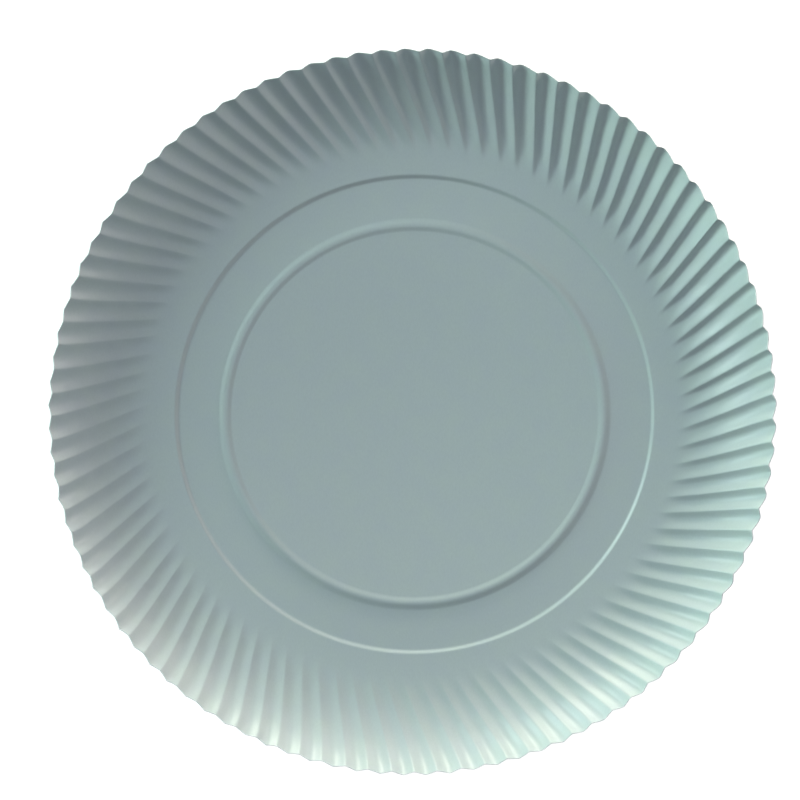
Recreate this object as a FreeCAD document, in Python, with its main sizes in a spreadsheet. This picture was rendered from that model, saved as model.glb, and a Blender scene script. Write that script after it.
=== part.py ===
import FreeCAD, Part
import math
import os
import Sketcher
from FreeCAD import Vector

# Paper plate, pressed from one disc of board. Millimetres, +Z up.
# The origin is on the plate's axis, on the table that the foot band stands on.

doc = FreeCAD.newDocument("paper_plate")

# Driving sizes, in millimetres, degrees or counts
SIZES = {
    "plate_diameter": 230.0,
    "board": 0.42,
    "disc_diameter": 115.4,
    "disc_lift": 0.15,
    "bead_inner_run": 2.0,
    "bead_crest_run": 0.3,
    "bead_outer_run": 2.4,
    "bead_rise": 0.35,
    "foot_width": 11.8,
    "step_run": 2.3,
    "step_rise": 0.8,
    "plain_wall": 6.2,
    "wall_foot_slope": 3.0,
    "wall_rim_slope": 45.0,
    "flute_count": 96,
    "flute_run_out": 9.0,
    "flute_first_depth": 1.1,
    "flute_depth": 1.7,
    "flute_valley_share": 0.3,
    "flute_sweep": 6.7,
    "flute_sweep_power": 1.28,
    "wall_rings": 3,
}
sheet = doc.addObject("Spreadsheet::Sheet", "sizes")
for row, (name, value) in enumerate(SIZES.items(), start=1):
    sheet.set(f"A{row}", name)
    sheet.set(f"B{row}", str(value))
    sheet.setAlias(f"B{row}", name)
doc.recompute()

# Radii of the underside, from the axis outwards
DISC = "sizes.disc_diameter / 2"
CREST_START = f"({DISC} + sizes.bead_inner_run)"
CREST_END = f"({CREST_START} + sizes.bead_crest_run)"
FOOT_START = f"({CREST_END} + sizes.bead_outer_run)"
FOOT_END = f"({FOOT_START} + sizes.foot_width)"
WALL_FOOT = f"({FOOT_END} + sizes.step_run)"
FLUTE_START = f"({WALL_FOOT} + sizes.plain_wall)"
RIM = "(sizes.plate_diameter / 2 - sizes.flute_depth / 2 * sin(sizes.wall_rim_slope))"

# Heights of the underside
DISC_Z = "sizes.disc_lift"
CREST_Z = f"({DISC_Z} + sizes.bead_rise)"
FLUTE_START_Z = "(sizes.step_rise + sizes.plain_wall * tan(sizes.wall_foot_slope))"

# Pressed middle: the flat disc and the raised bead round it, turned from half a section
body = doc.addObject("PartDesign::Body", "pressed_middle")
body.Label = "pressed_middle"


def number(formula):
    """The value of a formula of the sheet's sizes."""
    return float(body.evalExpression(formula))


underside = [
    ("0", DISC_Z),
    (DISC, DISC_Z),
    (CREST_START, CREST_Z),
    (CREST_END, CREST_Z),
    (FOOT_START, "0"),
]
upper_side = [(x, f"({z} + sizes.board)") for x, z in reversed(underside)]
outline = underside + upper_side

profile = body.newObject("Sketcher::SketchObject", "pressed_profile")
upright = [plane for plane in body.Origin.OriginFeatures if plane.Role == "XZ_Plane"][0]
profile.AttachmentSupport = [(upright, "")]
profile.MapMode = "FlatFace"

corners = [Vector(number(x), number(z), 0) for x, z in outline]
for index, corner in enumerate(corners):
    profile.addGeometry(Part.LineSegment(corner, corners[(index + 1) % len(corners)]), False)


# A constraint's numbers: -1 is the origin or the first axis, -2 the second; a line's ends are 1 and 2
def bind(kind, index, formula):
    """Holds one coordinate of an edge's start to a formula of the sizes."""
    place = profile.addConstraint(Sketcher.Constraint(kind, -1, 1, index, 1, number(formula)))
    profile.setExpression(f"Constraints[{place}]", formula)


for index, (x, z) in enumerate(outline):
    following = (index + 1) % len(outline)
    profile.addConstraint(Sketcher.Constraint("Coincident", index, 2, following, 1))
    if x == "0":
        profile.addConstraint(Sketcher.Constraint("PointOnObject", index, 1, -2))
    else:
        bind("DistanceX", index, x)
    if z == "0":
        profile.addConstraint(Sketcher.Constraint("PointOnObject", index, 1, -1))
    else:
        bind("DistanceY", index, z)

turned = body.newObject("PartDesign::Revolution", "pressed_turn")
turned.Profile = profile
turned.ReferenceAxis = (profile, ["V_Axis"])
turned.Angle = 360
body.Tip = turned
doc.recompute()

# The wall's underside is an arc in section: its slope grows from the first flute to the rim
count = int(number("sizes.flute_count"))
pitch = 2 * math.pi / count
board = number("sizes.board")
flute_start = number(FLUTE_START)
flute_start_z = number(FLUTE_START_Z)
rim = number(RIM)
foot_slope = math.radians(number("sizes.wall_foot_slope"))
rim_slope = math.radians(number("sizes.wall_rim_slope"))
wall_arc = (rim - flute_start) / (math.sin(rim_slope) - math.sin(foot_slope))
arc_x = flute_start - wall_arc * math.sin(foot_slope)
arc_z = flute_start_z + wall_arc * math.cos(foot_slope)


def swept(radius):
    """How far a flute lags behind its place at the rim, in radians."""
    share = (rim - radius) / (rim - flute_start)
    return math.radians(number("sizes.flute_sweep")) * share ** number("sizes.flute_sweep_power")


START_TURN = -swept(flute_start)


def around(radius, height, angle):
    return Vector(radius * math.cos(angle), radius * math.sin(angle), height)


def wall_point(radius, turn, push):
    """A point of the wall's underside, turned about the axis and pushed square to the wall."""
    sine = (radius - arc_x) / wall_arc
    cosine = math.sqrt(1 - sine ** 2)
    return around(radius - push * sine, arc_z + (push - wall_arc) * cosine, turn - swept(radius))


def flat_face(*points):
    return Part.Face(Part.makePolygon([*points, points[0]]))


def ruled(a, b, c, d):
    """Face between the line a-b and the line c-d."""
    return Part.makeRuledSurface(Part.makeLine(a, b), Part.makeLine(c, d))


# Foot band, step and the plain foot of the wall. Each has as many sides as there are flutes.
def foot_band(height):
    """Flat ring from the bead's outer circle to the step's first edge."""
    edges = [around(number(FOOT_END), height, START_TURN + pitch * step) for step in range(count)]
    outer = Part.makePolygon([*edges, edges[0]])
    inner = Part.Wire(Part.makeCircle(number(FOOT_START), Vector(0, 0, height)))
    return Part.makeFace([outer, inner], "Part::FaceMakerBullseye")


def step_and_plain_wall(side):
    """One flute's share of the step and the plain wall: side is 0 below and the board above."""
    lines = []
    for radius, height in ((FOOT_END, "0"), (WALL_FOOT, "sizes.step_rise")):
        lines.append([around(number(radius), number(height) + side, START_TURN + pitch * end)
                      for end in (0, 1)])
    lines.append([wall_point(flute_start, pitch * end, side) for end in (0, 1)])
    return [flat_face(*inner, *reversed(outer)) for inner, outer in zip(lines, lines[1:])]


# Flutes: each runs from one sharp ridge over a flat valley to the next ridge
valley = number("sizes.flute_valley_share")
ACROSS = [0, 0.5 - valley / 2, 0.5 + valley / 2, 1]
RIDGE_OR_VALLEY = [1, -1, -1, 1]


def rings():
    """Radius and depth of the flutes at each bend line of the wall."""
    first = flute_start + number("sizes.flute_run_out")
    first_depth = number("sizes.flute_first_depth")
    steps = int(number("sizes.wall_rings"))
    for step in range(steps + 1):
        share = step / steps
        yield first + (rim - first) * share, first_depth + (number("sizes.flute_depth") - first_depth) * share


def flute_side(side):
    """One flute's faces below or above the board, and its corners at the rim."""
    start, start_end = (wall_point(flute_start, pitch * end, side) for end in (0, 1))
    rows = []
    for radius, depth in rings():
        rows.append([wall_point(radius, share * pitch, side + way * depth / 2)
                     for share, way in zip(ACROSS, RIDGE_OR_VALLEY)])
    ridge, floor_start, floor_end, next_ridge = rows[0]
    faces = [
        flat_face(start, ridge, floor_start),
        flat_face(start, floor_start, start_end),
        flat_face(start_end, floor_start, floor_end),
        flat_face(start_end, floor_end, next_ridge),
    ]
    for inner, outer in zip(rows, rows[1:]):
        for strip in range(len(ACROSS) - 1):
            faces.append(ruled(inner[strip], inner[strip + 1], outer[strip], outer[strip + 1]))
    return faces, rows[-1]


def sector():
    """Every face of the plate that repeats with each flute."""
    under, under_edge = flute_side(0)
    upper, upper_edge = flute_side(board)
    cut_edge = [ruled(under_edge[i], under_edge[i + 1], upper_edge[i], upper_edge[i + 1])
                for i in range(len(ACROSS) - 1)]
    return step_and_plain_wall(0) + step_and_plain_wall(board) + under + upper + cut_edge


def turned_copy(face, step):
    copy = face.copy()
    copy.rotate(Vector(0, 0, 0), Vector(0, 0, 1), math.degrees(pitch) * step)
    return copy


# The plate is one sheet: the middle's faces, but not its outer end, are sewn to the foot band and the wall
SEWING_GAP = 1e-4
middle = [face for face in body.Shape.Faces if face.Surface.TypeId != "Part::GeomCylinder"]
outside = [turned_copy(face, step) for step in range(count) for face in sector()]
skin = Part.makeCompound([*middle, foot_band(0), foot_band(board), *outside])
skin.sewShape(SEWING_GAP)
solid = Part.Solid(skin.Shells[0])
if solid.Volume < 0:
    solid.reverse()
plate = doc.addObject("Part::Feature", "plate")
plate.Label = "plate"
plate.Shape = solid
doc.recompute()

for item in doc.Objects:
    if "Invalid" in item.State or "Error" in item.State:
        raise RuntimeError(f"{item.Label} did not build")
for item in (body, plate):
    if item.Shape.isNull() or not item.Shape.isValid():
        raise RuntimeError(f"{item.Label} has no valid shape")
if len(skin.Shells) != 1 or not skin.Shells[0].isClosed():
    raise RuntimeError("the plate's skin is not closed")

os.makedirs("parts", exist_ok=True)
plate.Shape.exportStep(f"parts/{plate.Label}.step")
box = plate.Shape.optimalBoundingBox()
print(f"plate {box.XLength:.2f} x {box.YLength:.2f} x {box.ZLength:.2f} mm, lowest point {box.ZMin:.3f}")
print(f"volume {plate.Shape.Volume / 1000:.2f} cm3, {plate.Shape.Area / 200:.1f} cm2 of board")
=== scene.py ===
import math
import random

import bpy
from mathutils import Matrix, Vector, noise


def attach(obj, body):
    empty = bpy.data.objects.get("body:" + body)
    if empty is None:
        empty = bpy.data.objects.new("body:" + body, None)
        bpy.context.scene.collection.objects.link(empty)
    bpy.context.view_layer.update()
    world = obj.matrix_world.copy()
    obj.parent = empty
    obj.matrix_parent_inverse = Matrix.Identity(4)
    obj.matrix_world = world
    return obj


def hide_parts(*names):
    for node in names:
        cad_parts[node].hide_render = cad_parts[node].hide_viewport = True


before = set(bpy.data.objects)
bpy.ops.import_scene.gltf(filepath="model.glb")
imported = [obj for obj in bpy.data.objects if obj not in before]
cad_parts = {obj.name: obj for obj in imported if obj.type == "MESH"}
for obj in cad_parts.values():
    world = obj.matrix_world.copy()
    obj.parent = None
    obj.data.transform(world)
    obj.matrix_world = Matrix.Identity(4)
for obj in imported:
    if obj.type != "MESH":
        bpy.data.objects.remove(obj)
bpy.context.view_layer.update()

MM = 0.001

# Sizes of the plate in millimetres. They are the solid's, but for the raised ring: it is 0.15 mm higher here.
BOARD = 0.42
DISC_RADIUS = 57.7
DISC_LIFT = 0.15
CREST_START = DISC_RADIUS + 2.0
CREST_END = CREST_START + 0.3
BEAD_RISE = 0.5
FOOT_START = CREST_END + 2.4
FOOT_END = FOOT_START + 11.8
WALL_FOOT = FOOT_END + 2.3
STEP_RISE = 0.8
PLAIN_WALL = 6.2
FLUTE_START = WALL_FOOT + PLAIN_WALL
WALL_FOOT_SLOPE = math.radians(3)
WALL_RIM_SLOPE = math.radians(45)
FLUTES = 96
FLUTE_RUN_OUT = 9.0
FLUTE_FIRST_DEPTH = 1.1
FLUTE_DEPTH = 1.7
FLUTE_SWEEP = math.radians(6.7)
FLUTE_SWEEP_POWER = 1.28
RIM = 115.0 - FLUTE_DEPTH / 2 * math.sin(WALL_RIM_SLOPE)
PITCH = 2 * math.pi / FLUTES

# A row this near to where the flutes start is part of the wall
ROUNDING = 0.01

# The wall's section is an arc
WALL_ARC = (RIM - FLUTE_START) / (math.sin(WALL_RIM_SLOPE) - math.sin(WALL_FOOT_SLOPE))
ARC_X = FLUTE_START - WALL_ARC * math.sin(WALL_FOOT_SLOPE)
FLUTE_START_Z = STEP_RISE + PLAIN_WALL * math.tan(WALL_FOOT_SLOPE)
ARC_Z = FLUTE_START_Z + WALL_ARC * math.cos(WALL_FOOT_SLOPE)

# From 1, a knife-edge ridge, upwards, a rounder one
RIDGE_ROUNDING = 1.3

# The flutes are pressed most fully on the upper right and least on the lower left
PRESSED_SHARE = 0.7
PRESSED_SWING = 0.3
PRESSED_PEAK = math.radians(35)

# Where the valley lies between its ridges: near the middle, but further round on the upper right
VALLEY_PLACE = 0.52
VALLEY_SWING = 0.21
VALLEY_SWING_PEAK = math.radians(35)

# Shares of a flute's width: how far all the flutes are turned back, and how far each may be off its place
FLUTE_LAG = 0.06
FLUTE_STRAY = 0.04

# Shares of the full depth and of the full point that a flute may have by chance
SHALLOWEST = 0.9
BLUNTEST = 0.5
CHANCE_SEED = 7

# The cut edge runs out to a point at each valley, furthest on the lower left
EDGE_POINT = 0.29
EDGE_POINT_POWER = 3
EDGE_BACK = 0.2
EDGE_RUN = 5.0

# Height and length of the small dents in the wall
WRINKLE = 0.09
WRINKLE_LENGTH = 3.2

# The flutes' middle lies this far to the right and up from the rings' middle at the rim
FLUTES_OFF = (1.38, -1.88)
FLUTES_OFF_AT_START = 0.4

# Rows of the sheet, from the disc's edge outwards, and one row partway over each of the two plain bands
BEAD_RISING_ROWS = 5
BEAD_CREST_ROWS = 1
BEAD_FALLING_ROWS = 6
FOOT_MIDDLE_ROW = 5.4
STEP_ROWS = 8
PLAIN_WALL_MIDDLE_ROW = 3.3
FLUTE_ROWS = 24

# Spread of the points over a flute: close together on the sharp ridge, wide in the round valley.
# 0 and 1 are ridges and 0.5 is the valley.
ACROSS = [0, 0.05, 0.15, 0.27, 0.39, 0.5, 0.61, 0.73, 0.85, 0.95]
POINTS_PER_FLUTE = len(ACROSS)

# The board is shaded smooth over bends up to this angle, so its cut edge stays crisp
SMOOTH_UP_TO = math.radians(50)

# Clouds of about 8 mm and fibres of under a millimetre in the board
CLOUD_SCALE = 120
CLOUD_DETAIL = 2
FIBRE_SCALE = 2200
FIBRE_DETAIL = 4
FIBRE_STRETCH = (1, 0.45, 1)
FIBRE_ROUGHNESS = 0.2
FIBRE_HEIGHT = 0.02

# How far light runs inside the open core at the cut edge
LIGHT_INTO_EDGE = 1.0

# White floor just below the foot, its size in metres, and the pale blue light of the room
FLOOR_SIZE = 6
FLOOR_DROP = 0.05
FLOOR_COLOUR = (0.8, 0.8, 0.8, 1)
FLOOR_GLOW = 0.92
ROOM_COLOUR = (0.75, 0.83, 1, 1)
ROOM_STRENGTH = 0.02

# Camera: nearly straight down, a little from the lower right of the photograph, and as far off as
# the photograph's weak perspective asks. It sees as far as 20 metres.
CAMERA_AZIMUTH = -55
CAMERA_ELEVATION = 84.5
CAMERA_DISTANCE = 3000
CAMERA_SENSOR = 36
CAMERA_REACH = 20

# Width of the picture at the plate, and where the plate's middle lies from the picture's middle
FRAME_WIDTH = 252.9
PLATE_CENTRE = (4.55, -4.43)


def smooth(share):
    """Eases a share from 0 to 1 in and out."""
    share = min(1.0, max(0.0, share))
    return share * share * (3 - 2 * share)


def swept(radius):
    """How far a flute lags behind its place at the rim, in radians."""
    share = min(1.0, max(0.0, (RIM - radius) / (RIM - FLUTE_START)))
    return FLUTE_SWEEP * share ** FLUTE_SWEEP_POWER


def pressed_height(radius):
    """Height of the plate's underside in the middle, from the disc to the foot of the flutes."""
    if radius < CREST_END:
        return DISC_LIFT + BEAD_RISE * smooth((radius - DISC_RADIUS) / (CREST_START - DISC_RADIUS))
    if radius < FOOT_END:
        return (DISC_LIFT + BEAD_RISE) * smooth((FOOT_START - radius) / (FOOT_START - CREST_END))
    if radius < WALL_FOOT:
        return STEP_RISE * smooth(smooth((radius - FOOT_END) / (WALL_FOOT - FOOT_END)))
    return STEP_RISE + (radius - WALL_FOOT) * math.tan(WALL_FOOT_SLOPE)


def row_radii():
    """Radii of the rows, closer together where the board bends."""
    def spread(start, end, count):
        return [start + (end - start) * step / count for step in range(count)]
    rows = spread(DISC_RADIUS, CREST_START, BEAD_RISING_ROWS)
    rows += spread(CREST_START, CREST_END, BEAD_CREST_ROWS)
    rows += spread(CREST_END, FOOT_START, BEAD_FALLING_ROWS)
    rows += [FOOT_START, FOOT_START + FOOT_MIDDLE_ROW]
    rows += spread(FOOT_END, WALL_FOOT, STEP_ROWS)
    rows += [WALL_FOOT, WALL_FOOT + PLAIN_WALL_MIDDLE_ROW]
    rows += spread(FLUTE_START, RIM, FLUTE_ROWS)
    rows.append(RIM)
    return rows


def deselect():
    """Leaves nothing selected, in edit mode or out of it."""
    if bpy.context.object and bpy.context.object.mode == "EDIT":
        bpy.ops.mesh.select_all(action="DESELECT")
    else:
        bpy.ops.object.select_all(action="DESELECT")


def pressed_sheet():
    """The upper side of the plate: a disc whose edge is drawn out row by row."""
    deselect()
    rows = row_radii()
    bpy.ops.mesh.primitive_circle_add(
        vertices=FLUTES * POINTS_PER_FLUTE, radius=rows[0] * MM, fill_type="TRIFAN",
        location=(0, 0, (pressed_height(rows[0]) + BOARD) * MM))
    sheet = bpy.context.object
    sheet.name = "pressed_plate"
    bpy.ops.object.transform_apply(location=True, rotation=True, scale=True)
    bpy.ops.object.mode_set(mode="EDIT")
    bpy.ops.mesh.select_mode(type="EDGE")
    bpy.ops.mesh.select_all(action="SELECT")
    bpy.ops.mesh.region_to_loop()
    for inner, outer in zip(rows, rows[1:]):
        bpy.ops.mesh.extrude_edges_move()
        step = pressed_height(outer) - pressed_height(inner) if outer <= FLUTE_START else 0
        growth = outer / inner
        bpy.ops.transform.resize(value=(growth, growth, 1), center_override=(0, 0, 0))
        bpy.ops.transform.translate(value=(0, 0, step * MM))
    bpy.ops.object.mode_set(mode="OBJECT")
    return sheet


def flute_push(share):
    """Height of the sheet over a flute, from 1 on its ridge to -1 in its valley."""
    from_ridge = 2 * abs(share - round(share))
    return 1 - 2 * math.sin(math.pi / 2 * from_ridge) ** RIDGE_ROUNDING


def flute_depth(radius):
    """Depth from ridge to valley: it fades in over the run-out, then grows to the rim."""
    run = (radius - FLUTE_START) / FLUTE_RUN_OUT
    if run < 1:
        return FLUTE_FIRST_DEPTH * smooth(run)
    growth = (radius - FLUTE_START - FLUTE_RUN_OUT) / (RIM - FLUTE_START - FLUTE_RUN_OUT)
    return FLUTE_FIRST_DEPTH + (FLUTE_DEPTH - FLUTE_FIRST_DEPTH) * growth


def pressed_share(angle):
    """How fully the flutes are pressed on each side of the plate, up to 1."""
    return PRESSED_SHARE + PRESSED_SWING * math.cos(angle - PRESSED_PEAK)


def drift(radius, angle):
    """Turn of a flute's place, because the flutes sit a little to one side of the rings."""
    share = min(1.0, max(0.0, (radius - FLUTE_START) / (RIM - FLUTE_START)))
    off = FLUTES_OFF_AT_START + (1 - FLUTES_OFF_AT_START) * share
    return off * (FLUTES_OFF[1] * math.cos(angle) - FLUTES_OFF[0] * math.sin(angle)) / radius


def wrinkle(radius, angle):
    """Small dents of the pressed wall, which grow towards the rim."""
    share = min(1.0, max(0.0, (radius - FLUTE_START) / FLUTE_RUN_OUT))
    spot = Vector((radius * math.cos(angle), radius * math.sin(angle), 0)) / WRINKLE_LENGTH
    return WRINKLE * share * (noise.noise(spot) - 0.5)


def edge_reach(radius, share, point):
    """How much further out the board reaches near the rim, where each valley ends in a point."""
    from_valley = 2 * abs(share - 0.5)
    reach = point * (1 - from_valley) ** EDGE_POINT_POWER - EDGE_BACK
    return smooth((radius - RIM + EDGE_RUN) / EDGE_RUN) * reach


def valley_place(angle):
    """Where a valley lies between its two ridges: on the right one flank is narrow and steep."""
    return VALLEY_PLACE + VALLEY_SWING * max(0.0, math.cos(angle - VALLEY_SWING_PEAK))


def press_flutes(sheet):
    """Presses the flutes into the wall: each point goes to its own place on the curved, fluted wall."""
    chance = random.Random(CHANCE_SEED)
    depths = [chance.uniform(SHALLOWEST, 1.0) for _ in range(FLUTES)]
    shifts = [chance.uniform(-FLUTE_STRAY, FLUTE_STRAY) * PITCH for _ in range(FLUTES)]
    points = [chance.uniform(BLUNTEST, 1) * EDGE_POINT for _ in range(FLUTES)]
    columns = FLUTES * POINTS_PER_FLUTE
    for vertex in sheet.data.vertices:
        place = vertex.co / MM
        radius = math.hypot(place.x, place.y)
        if radius < DISC_RADIUS / 2:
            continue
        column = round(math.atan2(place.y, place.x) / (2 * math.pi) * columns) % columns
        flute, point = divmod(column, POINTS_PER_FLUTE)
        following = (flute + 1) % FLUTES
        share = ACROSS[point]
        angle = (flute + share) * PITCH - swept(radius)
        angle += drift(radius, angle)
        valley = valley_place(angle)
        across = 2 * share * valley if share < 0.5 else valley + (2 * share - 1) * (1 - valley)
        angle += (across - share - (valley - 0.5) / 2 - FLUTE_LAG) * PITCH
        out, height = radius, place.z
        if radius > FLUTE_START - ROUNDING:
            here = depths[flute] * (1 - share) + depths[following] * share
            here *= pressed_share(angle)
            angle += shifts[flute] * (1 - share) + shifts[following] * share
            push = BOARD + flute_depth(radius) / 2 * flute_push(share) * here
            push += wrinkle(radius, angle)
            reach = points[flute] * (1 - math.cos(angle - PRESSED_PEAK))
            radius += edge_reach(radius, share, reach)
            sine = (radius - ARC_X) / WALL_ARC
            out = radius - push * sine
            height = ARC_Z + (push - WALL_ARC) * math.sqrt(1 - sine ** 2)
        vertex.co = Vector((out * math.cos(angle), out * math.sin(angle), height)) * MM
    sheet.data.update()


def give_board(sheet):
    """Gives the sheet the board's thickness, downwards."""
    deselect()
    sheet.select_set(True)
    bpy.context.view_layer.objects.active = sheet
    board = sheet.modifiers.new("board", "SOLIDIFY")
    board.thickness = BOARD * MM
    board.offset = -1
    board.material_offset = 1
    board.material_offset_rim = 2
    bpy.ops.object.modifier_apply(modifier=board.name)
    bpy.ops.object.shade_smooth_by_angle(angle=SMOOTH_UP_TO)


def paper_fibres():
    """Node group: the colour, roughness and relief of pressed board."""
    group = bpy.data.node_groups.new("paper fibres", "ShaderNodeTree")
    number, shade = "NodeSocketFloat", "NodeSocketColor"
    for name, kind in (("Colour", shade), ("Cloud Colour", shade), ("Clouds", number), ("Fibres", number),
                       ("Roughness", number)):
        group.interface.new_socket(name=name, in_out="INPUT", socket_type=kind)
    for name, kind in (("Colour", shade), ("Roughness", number), ("Height", number)):
        group.interface.new_socket(name=name, in_out="OUTPUT", socket_type=kind)
    nodes, links = group.nodes, group.links
    given = nodes.new("NodeGroupInput")
    made = nodes.new("NodeGroupOutput")
    place = nodes.new("ShaderNodeTexCoord")

    def specks(scale, detail, stretch=(1, 1, 1)):
        along = nodes.new("ShaderNodeMapping")
        along.inputs["Scale"].default_value = stretch
        links.new(place.outputs["Object"], along.inputs["Vector"])
        texture = nodes.new("ShaderNodeTexNoise")
        texture.inputs["Scale"].default_value = scale
        texture.inputs["Detail"].default_value = detail
        links.new(along.outputs[0], texture.inputs["Vector"])
        return texture.outputs["Fac"]

    def worked_out(kind, *values):
        step = nodes.new("ShaderNodeMath")
        step.operation = kind
        for socket, value in zip(step.inputs, values):
            if isinstance(value, (int, float)):
                socket.default_value = value
            else:
                links.new(value, socket)
        return step.outputs[0]

    clouds = specks(CLOUD_SCALE, CLOUD_DETAIL)
    fibres = specks(FIBRE_SCALE, FIBRE_DETAIL, FIBRE_STRETCH)
    tint = nodes.new("ShaderNodeMix")
    tint.data_type = "RGBA"
    links.new(worked_out("MULTIPLY", clouds, given.outputs["Clouds"]), tint.inputs["Factor"])
    links.new(given.outputs["Colour"], tint.inputs["A"])
    links.new(given.outputs["Cloud Colour"], tint.inputs["B"])
    dark = worked_out("MULTIPLY", worked_out("SUBTRACT", fibres, 0.5), given.outputs["Fibres"])
    shaded = nodes.new("ShaderNodeVectorMath")
    shaded.operation = "SCALE"
    links.new(tint.outputs["Result"], shaded.inputs[0])
    links.new(worked_out("ADD", dark, 1), shaded.inputs["Scale"])
    links.new(shaded.outputs[0], made.inputs["Colour"])
    rough = worked_out("MULTIPLY_ADD", fibres, FIBRE_ROUGHNESS, given.outputs["Roughness"])
    links.new(rough, made.inputs["Roughness"])
    links.new(fibres, made.inputs["Height"])
    return group


def board_finish(name, fibres, colour, cloud_colour, clouds, strength, roughness, relief):
    """Board with its own colour, clouds, fibres, roughness and relief."""
    material = bpy.data.materials.new(name)
    material.use_nodes = True
    nodes, links = material.node_tree.nodes, material.node_tree.links
    shader = nodes["Principled BSDF"]
    paper = nodes.new("ShaderNodeGroup")
    paper.node_tree = fibres
    for socket, value in (("Colour", (*colour, 1)), ("Cloud Colour", (*cloud_colour, 1)), ("Clouds", clouds),
                          ("Fibres", strength), ("Roughness", roughness)):
        paper.inputs[socket].default_value = value
    links.new(paper.outputs["Colour"], shader.inputs["Base Color"])
    links.new(paper.outputs["Roughness"], shader.inputs["Roughness"])
    bump = nodes.new("ShaderNodeBump")
    bump.inputs["Strength"].default_value = relief
    bump.inputs["Distance"].default_value = FIBRE_HEIGHT * MM
    links.new(paper.outputs["Height"], bump.inputs["Height"])
    links.new(bump.outputs["Normal"], shader.inputs["Normal"])
    return material


def cut_edge(fibres):
    """The board's open core at the rim, which light from the face comes through. Its colour is lighter than
    the face's: partly the bare core's own, partly painted light that lifts the edge where it lies in shade.
    """
    # Pale edge colour: partly the bare core's own tone, partly painted light that brightens the cut edge
    # where the lamps leave it in shade
    material = board_finish(
        "cut edge", fibres, colour=(0.84, 0.88, 0.86), cloud_colour=(0.78, 0.82, 0.80),
        clouds=1.0, strength=0.20, roughness=0.7, relief=0.5)
    shader = material.node_tree.nodes["Principled BSDF"]
    shader.inputs["Subsurface Weight"].default_value = 1
    shader.inputs["Subsurface Scale"].default_value = LIGHT_INTO_EDGE * MM
    shader.inputs["Subsurface Radius"].default_value = (1, 1, 1)
    return material


def seen_as_white(nodes, links):
    """1 for the rays that meet the white surroundings themselves, 0 for those that only light the plate."""
    path = nodes.new("ShaderNodeLightPath")
    most = path.outputs["Is Camera Ray"]
    for ray in ("Is Glossy Ray", "Is Transmission Ray"):
        larger = nodes.new("ShaderNodeMath")
        larger.operation = "MAXIMUM"
        links.new(most, larger.inputs[0])
        links.new(path.outputs[ray], larger.inputs[1])
        most = larger.outputs[0]
    return most


def floor():
    """White floor that keeps the plate's shadow."""
    deselect()
    bpy.ops.mesh.primitive_plane_add(size=FLOOR_SIZE, location=(0, 0, -FLOOR_DROP * MM))
    ground = bpy.context.object
    ground.name = "floor"
    white = bpy.data.materials.new("white floor")
    white.use_nodes = True
    nodes, links = white.node_tree.nodes, white.node_tree.links
    nodes.remove(nodes["Principled BSDF"])
    matt = nodes.new("ShaderNodeBsdfDiffuse")
    matt.inputs["Color"].default_value = FLOOR_COLOUR
    glow = nodes.new("ShaderNodeEmission")
    strength = nodes.new("ShaderNodeMath")
    strength.operation = "MULTIPLY"
    links.new(seen_as_white(nodes, links), strength.inputs[0])
    strength.inputs[1].default_value = FLOOR_GLOW
    links.new(strength.outputs[0], glow.inputs["Strength"])
    both = nodes.new("ShaderNodeAddShader")
    links.new(matt.outputs[0], both.inputs[0])
    links.new(glow.outputs[0], both.inputs[1])
    links.new(both.outputs[0], nodes["Material Output"].inputs["Surface"])
    ground.data.materials.append(white)


def surroundings():
    """Pale room light, seen as white by the camera."""
    world = bpy.data.worlds.new("studio")
    bpy.context.scene.world = world
    world.use_nodes = True
    nodes, links = world.node_tree.nodes, world.node_tree.links
    nodes.clear()
    out = nodes.new("ShaderNodeOutputWorld")
    room = nodes.new("ShaderNodeBackground")
    room.inputs["Color"].default_value = ROOM_COLOUR
    room.inputs["Strength"].default_value = ROOM_STRENGTH
    white = nodes.new("ShaderNodeBackground")
    white.inputs["Color"].default_value = (1, 1, 1, 1)
    mix = nodes.new("ShaderNodeMixShader")
    links.new(seen_as_white(nodes, links), mix.inputs[0])
    links.new(room.outputs[0], mix.inputs[1])
    links.new(white.outputs[0], mix.inputs[2])
    links.new(mix.outputs[0], out.inputs["Surface"])


def direction(azimuth, elevation):
    """Way from the plate to a point at an azimuth from +X, anticlockwise, and a height over the floor."""
    around, up = math.radians(azimuth), math.radians(elevation)
    return Vector((math.cos(up) * math.cos(around), math.cos(up) * math.sin(around), math.sin(up)))


def lamp(name, azimuth, elevation, power, colour, size=0.5, distance=1.5):
    """Round soft lamp, in metres and watts, aimed at the plate."""
    way = direction(azimuth, elevation)
    light = bpy.data.lights.new(name, "AREA")
    light.shape = "DISK"
    light.size = size
    light.energy = power
    light.color = colour
    stand = bpy.data.objects.new(name, light)
    bpy.context.collection.objects.link(stand)
    stand.location = way * distance
    stand.rotation_euler = way.to_track_quat("Z", "Y").to_euler()


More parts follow.
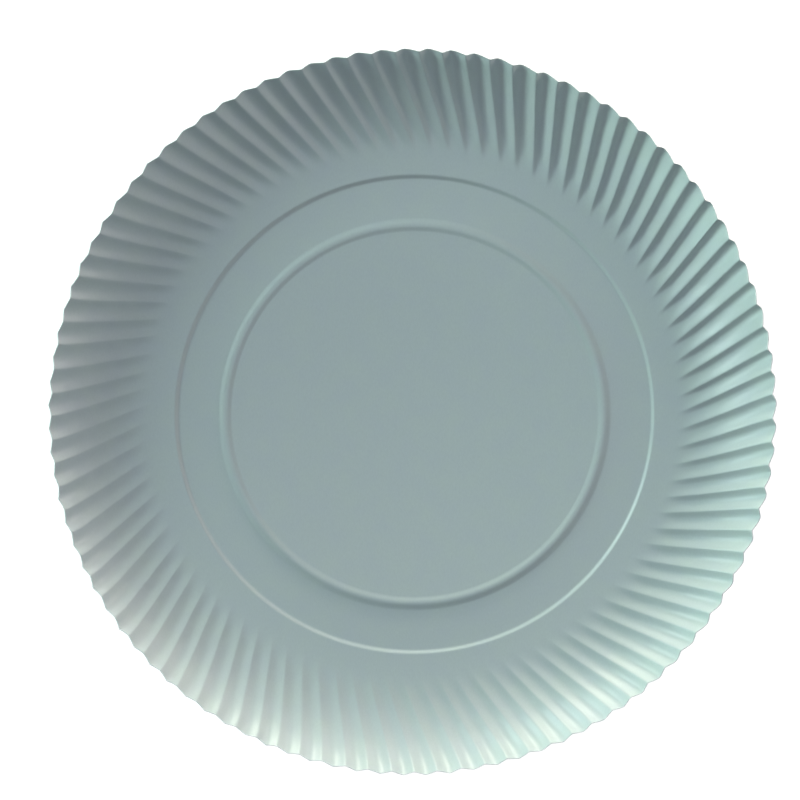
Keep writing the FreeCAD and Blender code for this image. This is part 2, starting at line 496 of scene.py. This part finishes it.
def camera():
    """Camera at the photograph's viewing angle."""
    view = bpy.data.cameras.new("camera")
    view.sensor_width = CAMERA_SENSOR
    view.lens = view.sensor_width * CAMERA_DISTANCE / FRAME_WIDTH
    view.clip_end = CAMERA_REACH
    stand = bpy.data.objects.new("camera", view)
    bpy.context.collection.objects.link(stand)
    back = direction(CAMERA_AZIMUTH, CAMERA_ELEVATION)
    right = Vector((0, 1, 0)).cross(back).normalized()
    top = back.cross(right)
    aim = -right * PLATE_CENTRE[0] - top * PLATE_CENTRE[1]
    turn = Matrix((right, top, back)).transposed()
    stand.matrix_world = Matrix.Translation((aim + back * CAMERA_DISTANCE) * MM) @ turn.to_4x4()
    bpy.context.scene.camera = stand


# The three finishes stand in the order that the board's thickness gives them: face, underside, edge
plate = pressed_sheet()
press_flutes(plate)
fibres = paper_fibres()
plate.data.materials.append(board_finish(
    "pressed board", fibres, colour=(0.65, 0.72, 0.73), cloud_colour=(0.68, 0.77, 0.70),
    clouds=1.0, strength=0.10, roughness=0.3, relief=0.3))
plate.data.materials.append(board_finish(
    "bare underside", fibres, colour=(0.66, 0.70, 0.68), cloud_colour=(0.70, 0.72, 0.68),
    clouds=1.0, strength=0.18, roughness=0.6, relief=0.6))
plate.data.materials.append(cut_edge(fibres))
give_board(plate)
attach(plate, "root")
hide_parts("plate")

floor()
surroundings()
lamp("low top lamp", 95, 4, 13.6, (1.0, 1.0, 0.84), size=0.3)
lamp("low right lamp", 60, 4, 5.1, (1.0, 0.88, 0.90), size=0.3)
lamp("low left lamp", 180, 4, 5.4, (0.6, 1.0, 0.86), size=0.3)
lamp("left lamp", 150, 20, 11.9, (0.78, 1.0, 0.97))
lamp("near lamp", 30, 14, 0.42, (1.0, 0.89, 0.88), size=0.12, distance=0.4)
lamp("overhead lamp", 0, 85, 4.4, (0.68, 0.84, 1.0), size=1.0)

# Two small lamps below the rim's height, which light the lower cut edge and not the dish
lamp("lower left edge lamp", 250, 2.2, 0.12, (1.0, 1.0, 1.0), size=0.012, distance=0.28)
lamp("lower right edge lamp", 300, 2.2, 0.12, (1.0, 1.0, 1.0), size=0.012, distance=0.28)
camera()
bpy.context.scene.view_settings.view_transform = "Standard"
